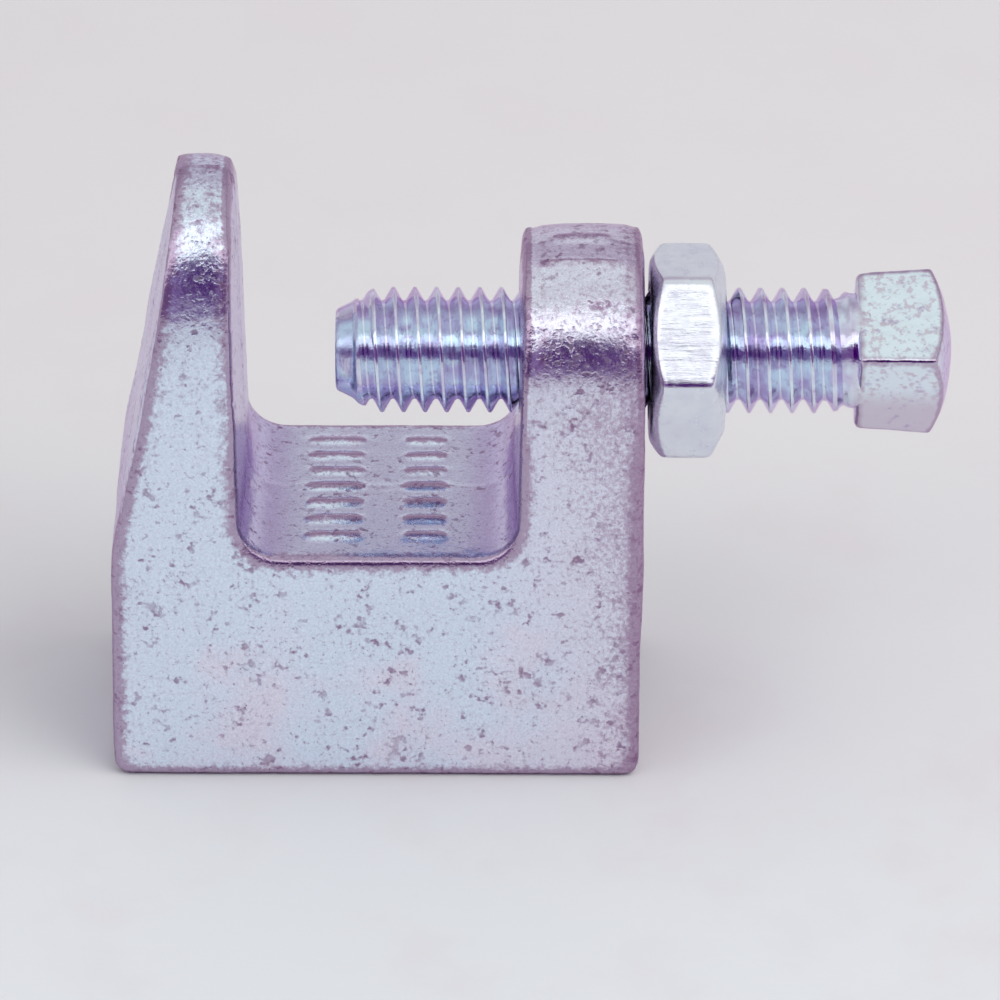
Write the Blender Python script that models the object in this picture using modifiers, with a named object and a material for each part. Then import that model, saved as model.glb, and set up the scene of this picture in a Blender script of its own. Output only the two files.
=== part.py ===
"""Reversible C-type beam clamp: a cast body, a square-head cup-point set screw and a hex lock nut.

Frame: metres, +Z up. The origin is the centre of the flat underside of the base, +X runs along the set
screw towards its head and +Y towards the back. Front and back are alike.
"""

from math import cos, pi, radians, sin, sqrt, tan

import bmesh
import bpy
from mathutils import Matrix

MM = 0.001

# Cast body
BASE_LENGTH = 39.6 * MM  # across the underside, along X
BODY_DEPTH = 19.0 * MM
FLOOR_HEIGHT = 19.6 * MM  # from the underside to the floor of the throat
THROAT_LEFT_X = -9.85 * MM  # the jaw's gripping face, at the floor
THROAT_RIGHT_X = 10.38 * MM  # the lug's inner face, at the floor
THROAT_FILLET = 3.0 * MM
JAW_INNER_DRAFT = radians(1.0)
LUG_INNER_DRAFT = radians(1.4)
LUG_OUTER_DRAFT = radians(0.35)
BASE_LEFT_DRAFT = radians(1.15)
JAW_BACK_POINT = (-17.5 * MM, 31.6 * MM)  # a point on the sloping back of the jaw, as X and Z
JAW_BACK_SLOPE = radians(9.4)
JAW_BACK_BEND_RADIUS = 28.0 * MM
SCREW_AXIS_Z = 31.95 * MM
LUG_TOP_RADIUS = 9.35 * MM  # round the screw axis
LUG_TOP_START = radians(8.0)
JAW_HEIGHT = 47.5 * MM
JAW_HALF_DEPTH = 9.35 * MM  # where the jaw's wide round shoulders would stand upright
JAW_SHOULDER_RADIUS = 14.5 * MM
JAW_SHOULDER_START = radians(4.0)
JAW_SHOULDER_END = radians(45.0)  # where a shoulder runs into the tighter round cap
EDGE_ROUNDING = 0.8 * MM
EDGE_ROUNDING_STEPS = 2

# 3/8-16 UNC thread, used by the screw, the lug, the nut and the rod hole
THREAD_PITCH = 25.4 * MM / 16
THREAD_CREST_RADIUS = 4.62 * MM
THREAD_ROOT_RADIUS = 3.63 * MM
THREAD_CREST_FLAT = 0.20 * MM
THREAD_ROOT_FLAT = 0.26 * MM
THREAD_CLEARANCE = 0.13 * MM  # radial, in every tapped hole
THREAD_PHASE = -0.555 * MM  # where a crest crosses the horizontal plane of its axis, at the back
SEGMENTS = 24  # round a thread
ROD_HOLE_SEGMENTS = 16
COUNTERSINK = 0.45 * MM
ROD_AXIS_Z = 9.8 * MM

# Set screw
SCREW_LENGTH = 38.1 * MM  # under the head
HEAD_SEAT_X = 35.2 * MM  # the underside of the head at rest
HEAD_HEIGHT = 7.1 * MM
HEAD_INNER_WIDTH = 8.4 * MM
HEAD_OUTER_WIDTH = 9.1 * MM
HEAD_TURN = radians(23.9)  # the nearest corner, up from the horizontal at the front
HEAD_CROWN_RADIUS = 13.0 * MM
HEAD_ROUNDING = 0.45 * MM
NECK_RADIUS = 4.25 * MM
NECK_LENGTH = 1.5 * MM
POINT_LENGTH = 1.3 * MM
POINT_RIM_RADIUS = 3.0 * MM
POINT_BACK_RADIUS = 3.55 * MM
CUP_RADIUS = 2.3 * MM
CUP_DEPTH = 0.8 * MM
SPLIT_GAP = 0.1 * MM  # between the two solids of one real piece
THREAD_START_TAPER = 1.5 * MM

# Lock nut
NUT_INNER_X = 20.1 * MM
NUT_THICKNESS = 5.56 * MM
NUT_ACROSS_FLATS = 14.1 * MM
NUT_TURN = radians(71.4)  # one corner, up from the horizontal at the front
NUT_CHAMFER_CIRCLE = 6.4 * MM
NUT_CHAMFER_ANGLE = radians(30)
NUT_FACE_THICKNESS = 0.3 * MM

TURNED_STEPS = 32
PAST = 2.0 * MM  # how far a cutter runs past what it cuts


def clear_scene():
    for old in list(bpy.data.objects):
        bpy.data.objects.remove(old, do_unlink=True)


def new_collection(name, hidden):
    made = bpy.data.collections.new(name)
    made.hide_render = hidden
    bpy.context.scene.collection.children.link(made)
    return made


def metal(name, colour, roughness, metallic):
    made = bpy.data.materials.new(name)
    made.use_nodes = True
    made.diffuse_color = (*colour, 1.0)
    shader = made.node_tree.nodes["Principled BSDF"]
    shader.inputs["Base Color"].default_value = (*colour, 1.0)
    shader.inputs["Roughness"].default_value = roughness
    shader.inputs["Metallic"].default_value = metallic
    return made


def place(name, mesh, collection):
    made = bpy.data.objects.new(name, mesh)
    collection.objects.link(made)
    if collection.hide_render:
        made.hide_render = True
        made.display_type = "WIRE"
    return made


def mesh_from(name, shape):
    bmesh.ops.recalc_face_normals(shape, faces=shape.faces)
    mesh = bpy.data.meshes.new(name)
    shape.to_mesh(mesh)
    shape.free()
    return mesh


def arc(centre, radius, start, end, steps):
    """Points round a centre from one angle to another, both included."""
    angles = [start + (end - start) * i / steps for i in range(steps + 1)]
    return [(centre[0] + radius * cos(a), centre[1] + radius * sin(a)) for a in angles]


def extruded(name, outline, depth, collection):
    """A flat outline as a filled 2D curve, extruded to both sides of its plane and made a mesh."""
    curve = bpy.data.curves.new(name, "CURVE")
    curve.dimensions = "2D"
    curve.fill_mode = "BOTH"
    curve.extrude = depth / 2
    spline = curve.splines.new("POLY")
    spline.points.add(len(outline) - 1)
    for point, (across, up) in zip(spline.points, outline):
        point.co = (across, up, 0.0, 1.0)
    spline.use_cyclic_u = True
    guide = bpy.data.objects.new(name + "_outline", curve)
    bpy.context.scene.collection.objects.link(guide)
    graph = bpy.context.evaluated_depsgraph_get()
    mesh = bpy.data.meshes.new_from_object(guide.evaluated_get(graph))
    bpy.data.objects.remove(guide, do_unlink=True)
    shape = bmesh.new()
    shape.from_mesh(mesh)
    bpy.data.meshes.remove(mesh)
    bmesh.ops.remove_doubles(shape, verts=shape.verts, dist=1e-6)
    bmesh.ops.dissolve_limit(shape, angle_limit=radians(0.2), verts=shape.verts, edges=shape.edges)
    return place(name, mesh_from(name, shape), collection)


def turned(name, profile, collection):
    """A profile of (X, radius) points, from the +X end to the -X end, turned round the X axis."""
    mesh = bpy.data.meshes.new(name)
    points = [(radius, 0.0, along) for along, radius in profile]
    mesh.from_pydata(points, [(i, i + 1) for i in range(len(points) - 1)], [])
    made = place(name, mesh, collection)
    made.rotation_euler = (0.0, radians(90), 0.0)
    screw = made.modifiers.new("turn", "SCREW")
    screw.axis = "Z"
    screw.steps = TURNED_STEPS
    screw.render_steps = TURNED_STEPS
    screw.use_merge_vertices = True
    screw.merge_threshold = 1e-6
    return made


def boolean(target, other, operation, solver="EXACT"):
    """The MANIFOLD solver is for threads: it keeps their long seams closed where EXACT leaves open edges."""
    cut = target.modifiers.new(other.name, "BOOLEAN")
    cut.operation = operation
    cut.solver = solver
    cut.object = other


def thread_solid(name, clearance, span, segments, collection):
    """A right-hand thread along the X axis, longer than its span at both ends, which something else trims.

    Every thread has a crest at THREAD_PHASE on its +Y side, so all of them mesh.
    """
    crest = THREAD_CREST_RADIUS + clearance
    root = THREAD_ROOT_RADIUS + clearance
    half_crest = THREAD_CREST_FLAT / 2 + clearance * tan(radians(30))
    half_root = THREAD_ROOT_FLAT / 2 - clearance * tan(radians(30))
    section = [
        (-half_crest, crest),
        (half_crest, crest),
        (THREAD_PITCH / 2 - half_root, root),
        (THREAD_PITCH / 2 + half_root, root),
    ]
    first_turn = int(span[0] // THREAD_PITCH) - 2
    turns = int((span[1] - span[0]) // THREAD_PITCH) + 4
    shape = bmesh.new()

    def vertex(row, step):
        turn, kind = divmod(row, len(section))
        offset, radius = section[kind]
        angle = 2 * pi * step / segments
        along = THREAD_PHASE + THREAD_PITCH * (first_turn + turn + step / segments) + offset
        return shape.verts.new((along, radius * cos(angle), radius * sin(angle)))

    last = turns * len(section)
    rows = [[vertex(row, step) for step in range(segments)] for row in range(last)]
    rows += [[vertex(row, 0)] for row in range(last, last + len(section) + 1)]
    rows[last] += [vertex(last, step) for step in range(1, segments)]

    def corner(row, step):
        return rows[row][step] if step < segments else rows[row + len(section)][0]

    for row in range(last):
        for step in range(segments):
            shape.faces.new(
                (corner(row, step), corner(row + 1, step), corner(row + 1, step + 1), corner(row, step + 1))
            )
    for row in (0, last):
        loop = [corner(row, step) for step in range(segments + 1)]
        loop += [corner(row + back, 0) for back in range(len(section) - 1, 0, -1)]
        middle = sum((v.co.x for v in loop), 0.0) / len(loop)
        hub = shape.verts.new((middle, 0.0, 0.0))
        for here, after in zip(loop, loop[1:] + loop[:1]):
            shape.faces.new((hub, here, after))
    return place(name, mesh_from(name, shape), collection)


def tapped_hole_cutter(name, height, span, segments, cutters):
    """A thread cutter along X at the given height, countersunk at both ends of its span."""
    cutter = thread_solid(name, THREAD_CLEARANCE, span, segments, cutters)
    cutter.location.z = height
    mouth = THREAD_CREST_RADIUS + THREAD_CLEARANCE + COUNTERSINK
    bottom = THREAD_ROOT_RADIUS
    for side, face in zip((-1, 1), span):
        profile = [
            (face + side * PAST, 0.0),
            (face + side * PAST, mouth + PAST),
            (face - side * (mouth - bottom), bottom),
            (face - side * (mouth - bottom), 0.0),
        ]
        if side < 0:
            profile.reverse()
        cone = turned(f"{name}_mouth_{'right' if side > 0 else 'left'}", profile, cutters)
        cone.location.z = height
        boolean(cutter, cone, "UNION", "MANIFOLD")
    return cutter


def fillet_reach(draft):
    """How far along the floor a fillet's centre is from the foot of a wall that leans back by a draft."""
    return THROAT_FILLET * (1 / cos(draft) - tan(draft))


def body_outline():
    """The C shape seen from the front, as X and Z points, running past the tops of the jaw and lug."""
    half = BASE_LENGTH / 2
    jaw_top = JAW_HEIGHT + PAST
    lug_top = SCREW_AXIS_Z + LUG_TOP_RADIUS + PAST
    jaw_rise = jaw_top - FLOOR_HEIGHT
    lug_rise = lug_top - FLOOR_HEIGHT
    back_x, back_z = JAW_BACK_POINT
    right = [
        (-half, 0.0),
        (half, 0.0),
        (half - lug_top * tan(LUG_OUTER_DRAFT), lug_top),
        (THROAT_RIGHT_X + lug_rise * tan(LUG_INNER_DRAFT), lug_top),
    ]
    fillet_z = FLOOR_HEIGHT + THROAT_FILLET
    lug_fillet = (THROAT_RIGHT_X - fillet_reach(LUG_INNER_DRAFT), fillet_z)
    jaw_fillet = (THROAT_LEFT_X + fillet_reach(JAW_INNER_DRAFT), fillet_z)
    floor = arc(lug_fillet, THROAT_FILLET, -LUG_INNER_DRAFT, -pi / 2, 6)
    floor += arc(jaw_fillet, THROAT_FILLET, -pi / 2, -pi + JAW_INNER_DRAFT, 6)
    jaw = [
        (THROAT_LEFT_X - jaw_rise * tan(JAW_INNER_DRAFT), jaw_top),
        (back_x + (jaw_top - back_z) * tan(JAW_BACK_SLOPE), jaw_top),
    ]
    return right + floor + jaw + jaw_back_bend()


def jaw_back_bend():
    """The round bend between the base's end face and the sloping back of the jaw, from top to bottom."""
    back_x, back_z = JAW_BACK_POINT
    slope_rate, draft_rate = tan(JAW_BACK_SLOPE), tan(BASE_LEFT_DRAFT)
    meet_z = (back_z * slope_rate - back_x - BASE_LENGTH / 2) / (slope_rate - draft_rate)
    meet_x = draft_rate * meet_z - BASE_LENGTH / 2
    turn = JAW_BACK_SLOPE - BASE_LEFT_DRAFT
    reach = JAW_BACK_BEND_RADIUS * tan(turn / 2)
    start = (meet_x - reach * sin(BASE_LEFT_DRAFT), meet_z - reach * cos(BASE_LEFT_DRAFT))
    centre = (
        start[0] + JAW_BACK_BEND_RADIUS * cos(BASE_LEFT_DRAFT),
        start[1] - JAW_BACK_BEND_RADIUS * sin(BASE_LEFT_DRAFT),
    )
    return arc(centre, JAW_BACK_BEND_RADIUS, pi - JAW_BACK_SLOPE, pi - BASE_LEFT_DRAFT, 4)


def lug_top_outline():
    """The lug's round top from its back to its front, as Y and Z points."""
    return arc((0.0, SCREW_AXIS_Z), LUG_TOP_RADIUS, LUG_TOP_START, pi - LUG_TOP_START, 16)


def jaw_top_outline():
    """The jaw's top from its back to its front: a shoulder, the cap and the other shoulder."""
    off_middle = JAW_SHOULDER_RADIUS - JAW_HALF_DEPTH
    cap_radius = JAW_SHOULDER_RADIUS - off_middle / cos(JAW_SHOULDER_END)
    cap_z = JAW_HEIGHT - cap_radius
    shoulder_z = cap_z - off_middle * tan(JAW_SHOULDER_END)
    back = arc((-off_middle, shoulder_z), JAW_SHOULDER_RADIUS, JAW_SHOULDER_START, JAW_SHOULDER_END, 6)
    cap = arc((0.0, cap_z), cap_radius, JAW_SHOULDER_END, pi - JAW_SHOULDER_END, 6)
    front = [(-across, up) for across, up in reversed(back)]
    return back + cap[1:-1] + front


def top_cutter(name, top, start_slope, start_x, end_x, cutters):
    """Takes away all that is above a round top whose sides run tangentially out past the body's faces."""
    beyond = BODY_DEPTH / 2 + PAST
    side_y, side_z = top[0]
    foot_z = side_z - (beyond - side_y) / tan(start_slope)
    sky_z = max(up for _, up in top) + 2 * PAST
    outline = [(beyond, foot_z)] + top + [(-beyond, foot_z), (-beyond, sky_z), (beyond, sky_z)]
    cutter = extruded(name, outline, end_x - start_x, cutters)
    # The outline's plane is turned from XY to YZ, and the extrusion then runs along X.
    cutter.matrix_world = Matrix.Translation(((start_x + end_x) / 2, 0.0, 0.0)) @ Matrix(
        ((0, 0, 1, 0), (1, 0, 0, 0), (0, 1, 0, 0), (0, 0, 0, 1))
    )
    return cutter


def clamp_body(parts, cutters):
    body = extruded("clamp_body", body_outline(), BODY_DEPTH, parts)
    body.data.transform(Matrix.Rotation(radians(90), 4, "X"))
    half = BASE_LENGTH / 2
    jaw_span = (-half - PAST, THROAT_LEFT_X + PAST)
    lug_span = (THROAT_RIGHT_X - PAST, half + PAST)
    jaw_cutter = top_cutter("jaw_top", jaw_top_outline(), JAW_SHOULDER_START, *jaw_span, cutters)
    lug_cutter = top_cutter("lug_top", lug_top_outline(), LUG_TOP_START, *lug_span, cutters)
    boolean(body, jaw_cutter, "DIFFERENCE")
    boolean(body, lug_cutter, "DIFFERENCE")
    rounding = body.modifiers.new("rounded_edges", "BEVEL")
    rounding.width = EDGE_ROUNDING
    rounding.segments = EDGE_ROUNDING_STEPS
    rounding.limit_method = "ANGLE"
    rounding.angle_limit = radians(35)
    lug_inner = THROAT_RIGHT_X + (SCREW_AXIS_Z - FLOOR_HEIGHT) * tan(LUG_INNER_DRAFT)
    lug_outer = half - SCREW_AXIS_Z * tan(LUG_OUTER_DRAFT)
    base_left = ROD_AXIS_Z * tan(BASE_LEFT_DRAFT) - half
    base_right = half - ROD_AXIS_Z * tan(LUG_OUTER_DRAFT)
    lug_thread = tapped_hole_cutter("lug_thread", SCREW_AXIS_Z, (lug_inner, lug_outer), SEGMENTS, cutters)
    rod_span = (base_left, base_right)
    rod_thread = tapped_hole_cutter("rod_thread", ROD_AXIS_Z, rod_span, ROD_HOLE_SEGMENTS, cutters)
    boolean(body, lug_thread, "DIFFERENCE", "MANIFOLD")
    boolean(body, rod_thread, "DIFFERENCE", "MANIFOLD")
    return body


def square_head(cutters):
    """The tapered square head with rounded corners and a domed end, along X from its underside."""
    shape = bmesh.new()
    bmesh.ops.create_cone(
        shape,
        cap_ends=True,
        segments=4,
        radius1=HEAD_INNER_WIDTH / sqrt(2),
        radius2=HEAD_OUTER_WIDTH / sqrt(2),
        depth=HEAD_HEIGHT,
    )
    middle = Matrix.Translation((HEAD_SEAT_X + HEAD_HEIGHT / 2, 0, 0))
    lie_along_x = Matrix.Rotation(radians(90), 4, "Y")
    shape.transform(Matrix.Rotation(-HEAD_TURN, 4, "X") @ middle @ lie_along_x)
    head = place("set_screw_head", mesh_from("set_screw_head", shape), cutters)
    rounding = head.modifiers.new("rounded_edges", "BEVEL")
    rounding.width = HEAD_ROUNDING
    rounding.segments = 2
    rounding.limit_method = "ANGLE"
    return head


def head_crown(cutters):
    """The domed envelope that trims the outer end of the head."""
    end = HEAD_SEAT_X + HEAD_HEIGHT
    centre = end - HEAD_CROWN_RADIUS
    widest = radians(40)
    dome = [
        (centre + HEAD_CROWN_RADIUS * cos(widest * i / 8), HEAD_CROWN_RADIUS * sin(widest * i / 8))
        for i in range(9)
    ]
    start = HEAD_SEAT_X - PAST
    return turned("head_crown", dome + [(start, dome[-1][1]), (start, 0.0)], cutters)


def set_screw(parts, cutters):
    tip = HEAD_SEAT_X - SCREW_LENGTH
    shank_start = tip + POINT_LENGTH + SPLIT_GAP
    neck_start = HEAD_SEAT_X - NECK_LENGTH
    fade = THREAD_CREST_RADIUS - THREAD_ROOT_RADIUS
    screw = thread_solid("set_screw", 0.0, (shank_start, HEAD_SEAT_X), SEGMENTS, parts)
    envelope = turned(
        "shank_envelope",
        [
            (HEAD_SEAT_X - NECK_LENGTH / 2, 0.0),
            (HEAD_SEAT_X - NECK_LENGTH / 2, THREAD_CREST_RADIUS + PAST),
            (shank_start + THREAD_START_TAPER + PAST, THREAD_CREST_RADIUS + PAST),
            (shank_start, POINT_BACK_RADIUS + SPLIT_GAP),
            (shank_start, 0.0),
        ],
        cutters,
    )
    neck = turned(
        "neck",
        [
            (HEAD_SEAT_X + NECK_LENGTH, 0.0),
            (HEAD_SEAT_X + NECK_LENGTH, NECK_RADIUS),
            (neck_start, NECK_RADIUS),
            (neck_start - fade, THREAD_ROOT_RADIUS - SPLIT_GAP),
            (neck_start - fade, 0.0),
        ],
        cutters,
    )
    head = square_head(cutters)
    boolean(head, head_crown(cutters), "INTERSECT")
    boolean(head, neck, "UNION")
    boolean(screw, envelope, "INTERSECT", "MANIFOLD")
    boolean(screw, head, "UNION", "MANIFOLD")
    return screw


def cup_point(parts):
    """The unthreaded end of the set screw: a slightly tapered rim round a conical cup."""
    tip = HEAD_SEAT_X - SCREW_LENGTH
    rim = 0.15 * MM
    return turned(
        "set_screw_cup_point",
        [
            (tip + POINT_LENGTH, 0.0),
            (tip + POINT_LENGTH, POINT_BACK_RADIUS),
            (tip + rim, POINT_RIM_RADIUS + rim / 4),
            (tip, POINT_RIM_RADIUS - rim),
            (tip, CUP_RADIUS),
            (tip + CUP_DEPTH, 0.0),
        ],
        parts,
    )


def hexagon(name, start_x, end_x, parts):
    shape = bmesh.new()
    corner_radius = NUT_ACROSS_FLATS / sqrt(3)
    depth = end_x - start_x
    bmesh.ops.create_cone(
        shape, cap_ends=True, segments=6, radius1=corner_radius, radius2=corner_radius, depth=depth
    )
    middle = Matrix.Translation(((start_x + end_x) / 2, 0, 0))
    lie_along_x = Matrix.Rotation(radians(90), 4, "Y")
    shape.transform(Matrix.Rotation(-NUT_TURN, 4, "X") @ middle @ lie_along_x)
    return place(name, mesh_from(name, shape), parts)


def nut_envelope(cutters):
    """Two chamfer cones back to back, which round off the corners of the hexagon at both faces."""
    end = NUT_INNER_X + NUT_THICKNESS
    rise = NUT_THICKNESS / 2 / tan(NUT_CHAMFER_ANGLE)
    middle = NUT_INNER_X + NUT_THICKNESS / 2
    profile = [
        (end, 0.0),
        (end, NUT_CHAMFER_CIRCLE),
        (middle, NUT_CHAMFER_CIRCLE + rise),
        (NUT_INNER_X, NUT_CHAMFER_CIRCLE),
        (NUT_INNER_X, 0.0),
    ]
    return turned("nut_chamfers", profile, cutters)


def lock_nut(parts, cutters):
    end = NUT_INNER_X + NUT_THICKNESS
    nut = hexagon("lock_nut", NUT_INNER_X + NUT_FACE_THICKNESS + SPLIT_GAP, end, parts)
    span = (NUT_INNER_X, end)
    boolean(nut, nut_envelope(cutters), "INTERSECT")
    boolean(nut, tapped_hole_cutter("nut_thread", 0.0, span, SEGMENTS, cutters), "DIFFERENCE", "MANIFOLD")
    return nut


def nut_bearing_face(parts):
    """The flat ring of the nut that meets the lug."""
    inner = THREAD_CREST_RADIUS + THREAD_CLEARANCE + COUNTERSINK
    start = NUT_INNER_X
    end = start + NUT_FACE_THICKNESS
    return turned(
        "lock_nut_bearing_face",
        [(end, inner), (end, NUT_CHAMFER_CIRCLE), (start, NUT_CHAMFER_CIRCLE), (start, inner), (end, inner)],
        parts,
    )


def on_screw_axis(piece, cutter_names):
    """Puts a piece that was made round the X axis, and what trims it, on the axis of the screw."""
    piece.location.z = SCREW_AXIS_Z
    for name in cutter_names:
        bpy.data.objects[name].location.z = SCREW_AXIS_Z


def finish(piece, material, sharp_angle):
    piece.data.materials.append(material)
    piece.data.shade_smooth()
    piece.data.set_sharp_from_angle(angle=radians(sharp_angle))


def main():
    clear_scene()
    parts = new_collection("beam_clamp", False)
    cutters = new_collection("cutters", True)
    cast_zinc = metal("cast_zinc", (0.58, 0.60, 0.70), 0.45, 0.75)
    screw_zinc = metal("screw_zinc", (0.62, 0.68, 0.80), 0.28, 1.0)
    nut_zinc = metal("nut_zinc", (0.72, 0.75, 0.82), 0.25, 1.0)
    finish(clamp_body(parts, cutters), cast_zinc, 30)
    screw = set_screw(parts, cutters)
    on_screw_axis(screw, ("shank_envelope", "neck", "set_screw_head", "head_crown"))
    finish(screw, screw_zinc, 30)
    point = cup_point(parts)
    on_screw_axis(point, ())
    finish(point, screw_zinc, 30)
    nut = lock_nut(parts, cutters)
    on_screw_axis(nut, ("nut_chamfers", "nut_thread", "nut_thread_mouth_left", "nut_thread_mouth_right"))
    finish(nut, nut_zinc, 30)
    face = nut_bearing_face(parts)
    on_screw_axis(face, ())
    finish(face, nut_zinc, 30)


main()
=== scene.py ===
"""The looks of the beam clamp: zinc-plated casting, set screw and lock nut, on a pale floor in soft light.

Shapes are modelled in millimetres and scaled to the frame's metres when a piece is finished. The frame's
origin is the centre of the underside of the base, +X runs along the set screw towards its head.
"""

from math import cos, pi, radians, sin, sqrt, tan

import bmesh
import bpy
import numpy as np
from mathutils import Matrix, Vector, kdtree, noise


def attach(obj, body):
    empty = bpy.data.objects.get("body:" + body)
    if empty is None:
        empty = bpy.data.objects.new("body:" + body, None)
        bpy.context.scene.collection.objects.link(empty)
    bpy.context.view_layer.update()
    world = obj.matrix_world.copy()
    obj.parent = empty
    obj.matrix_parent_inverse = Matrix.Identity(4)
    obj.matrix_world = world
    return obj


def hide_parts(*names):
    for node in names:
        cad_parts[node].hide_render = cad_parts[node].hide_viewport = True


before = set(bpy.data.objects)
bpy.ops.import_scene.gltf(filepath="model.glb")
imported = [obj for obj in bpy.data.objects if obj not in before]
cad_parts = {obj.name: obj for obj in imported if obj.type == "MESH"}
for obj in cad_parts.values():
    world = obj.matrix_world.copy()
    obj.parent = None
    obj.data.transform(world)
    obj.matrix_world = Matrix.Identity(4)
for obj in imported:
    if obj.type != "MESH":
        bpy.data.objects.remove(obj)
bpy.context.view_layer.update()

MM = 0.001

# The casting, as in the CAD, with the fine shape that the CAD leaves out
BASE_LENGTH = 39.6
BODY_DEPTH = 19.0
FLOOR_HEIGHT = 19.6
JAW_FACE_X = -9.85
LUG_FACE_X = 10.38
THROAT_FILLET = 3.0
JAW_FACE_DRAFT = radians(1.0)
LUG_FACE_DRAFT = radians(1.4)
LUG_OUTER_DRAFT = radians(0.35)
BASE_END_DRAFT = radians(1.15)
JAW_BACK_POINT = (-17.5, 31.6)
JAW_BACK_SLOPE = radians(9.4)
JAW_BACK_BEND_RADIUS = 28.0
SCREW_AXIS_Z = 31.95
ROD_AXIS_Z = 9.8
LUG_TOP_RADIUS = 9.35
LUG_TOP_START = radians(8.0)
JAW_HEIGHT = 47.5
JAW_HALF_DEPTH = 9.35
JAW_SHOULDER_RADIUS = 14.5
JAW_SHOULDER_START = radians(4.0)
JAW_SHOULDER_END = radians(45.0)
EDGE_ROUNDING = 0.68
BASE_CORNER_RADIUS = 1.2
CASTING_VOXEL = 0.266
LUG_MIDDLE_X = (LUG_FACE_X + BASE_LENGTH / 2) / 2

# The raised marks
MARK_WIDTH = 0.95
MARK_ROOT = 0.6  # how far a mark reaches into the casting
MARK_TOP_SHARE = 0.5
FLOOR_MARK_HEIGHT = 0.30
FLOOR_MARK_ROWS = [6.6 - 2.15 * row for row in range(7)]
FLOOR_MARK_COLUMNS = [(-3.1, 4.4), (3.6, 3.4)]  # the middle of each column and the length of its bars
LUG_MARK_HEIGHT = 0.24
LUG_MARKS = [(-3.4, 4.6), (15.6, 5.6)]  # each bar's lean towards the front in degrees, and its length

# Where the casting is softened more than elsewhere. A pair is the range over which the softening sets in.
EVEN_ROUNDS = 2
SOFT_ROUNDS = 23
JAW_BACK_SOFT_DEPTH = 2.6
JAW_BACK_SOFT_FADE = 1.2
JAW_BACK_SOFT_Z = (26.0, 31.0)
JAW_TIP_SOFT_Z = (43.5, 45.5)
JAW_TIP_SOFTNESS = 0.8
LUG_OUTER_EDGE_X = (18.3, 19.2)
LUG_INNER_EDGE_X = (11.7, 12.6)
LUG_SOFT_Z = (33.0, 38.0)
LUG_SOFTNESS = 0.6

# Ranges over which a normal's part along an axis counts as facing that way
FACING_FULLY = (0.5, 0.9)
FACING_MOSTLY = (0.4, 0.8)
FACING_PARTLY = (0.3, 0.8)

# How the casting's surface moves along its normal
PARTING_DRAFT = radians(1.5)  # the throat widens from the mid plane to the front and the back
PARTING_RIDGE = 0.05
PARTING_RIDGE_WIDTH = 0.28
THROAT_HALF_LENGTH = 13.5
THROAT_DRAFT_START_Z = FLOOR_HEIGHT - 2.0
THROAT_DRAFT_END_Z = (FLOOR_HEIGHT + 3.0, FLOOR_HEIGHT + 5.0)  # draft above this is for inward faces only
JAW_BACK_TAKEN = [(0.42, (19.0, 28.0)), (0.38, (31.0, 44.0))]  # each amount sets in over a range of heights
LUG_OUTSIDE_X = 15.0
LUG_OUTSIDE_GAIN = 0.20
LUG_OUTSIDE_GAIN_Z = (9.0, 18.0)
LUG_OUTSIDE_TAKEN = 0.13
TOP_CROWN_RADIUS = 34.0
TOP_CROWN_Z = (27.0, 33.0)
TOP_CROWN_LUG_SHIFT = 0.3
CASTING_LUMPS = [(0.045, 4.5, 1), (0.022, 1.5, 2), (0.010, 0.6, 3)]  # height, size and seed of the noise
NUT_SEAT_X = 19.68  # the lug's outer face stays inside this where the nut closes on it
NUT_SEAT_RADIUS = 8.7

# The casting's pits
PIT_TRIES = 900
PIT_SHARE = 0.35  # of the tries that make a pit
PIT_CROWDED_SHARE = 0.5  # more of them past PIT_CROWDED_X
PIT_CROWDED_X = (6.0, 19.0)
PIT_RADII = (0.26, 0.52)
PIT_DEPTHS = (0.02, 0.075)
PIT_STAINED_DEPTH = 0.06  # a pit this deep is stained all through

# 3/8-16 UNC threads; every crest crosses +Y at THREAD_PHASE
PITCH = 25.4 / 16
CREST_RADIUS = 4.62
ROOT_RADIUS = 3.63
THREAD_PHASE = -0.555
THREAD_CLEARANCE = 0.13
COUNTERSINK = 0.45
THREAD_STEPS = 96
HOLE_STEPS = 48
# One flank, from the middle of a crest to the middle of a root, as distance along X and radius
THREAD_FLANK = [(0.0, 4.62), (0.06, 4.612), (0.115, 4.58), (0.16, 4.515), (0.38, 4.13), (0.60, 3.755),
                (0.665, 3.682), (0.73, 3.642), (PITCH / 2, ROOT_RADIUS)]

# The set screw
TIP_X = -2.9
HEAD_SEAT_X = 35.2
HEAD_HEIGHT = 7.1
HEAD_INNER_WIDTH = 8.4
HEAD_OUTER_WIDTH = 9.1
HEAD_TURN = radians(23.9)
HEAD_CROWN_RADIUS = 13.0
HEAD_CORNER = 0.5
HEAD_VOXEL = 0.12
HEAD_CROWN_ANGLE = radians(40)
HEAD_LUMPS = [(0.045, 2.6, 4), (0.024, 0.8, 5)]
SHANK_END_X = HEAD_SEAT_X + 1.0
# The cup in the tip as X and radius, from its rim to its bottom
CUP = [(TIP_X, 2.62), (TIP_X + 0.05, 2.3), (TIP_X + 0.8, 0.25), (TIP_X + 0.8, 0.0)]
# The largest radius along the screw's lead-in, and the largest and smallest radius at its run-out
LEAD_IN = [(TIP_X, 2.86), (TIP_X + 0.12, 3.02), (TIP_X + 1.3, 3.60), (TIP_X + 1.56, 3.93),
           (TIP_X + 2.9, 4.58), (TIP_X + 3.1, CREST_RADIUS)]
RUN_OUT_CREST = [(32.2, CREST_RADIUS), (33.6, 4.50), (34.9, 4.24)]
RUN_OUT_ROOT = [(32.4, 0.0), (32.8, 3.64), (34.3, 3.95), (34.8, 4.20), (35.2, 4.24)]

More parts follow.
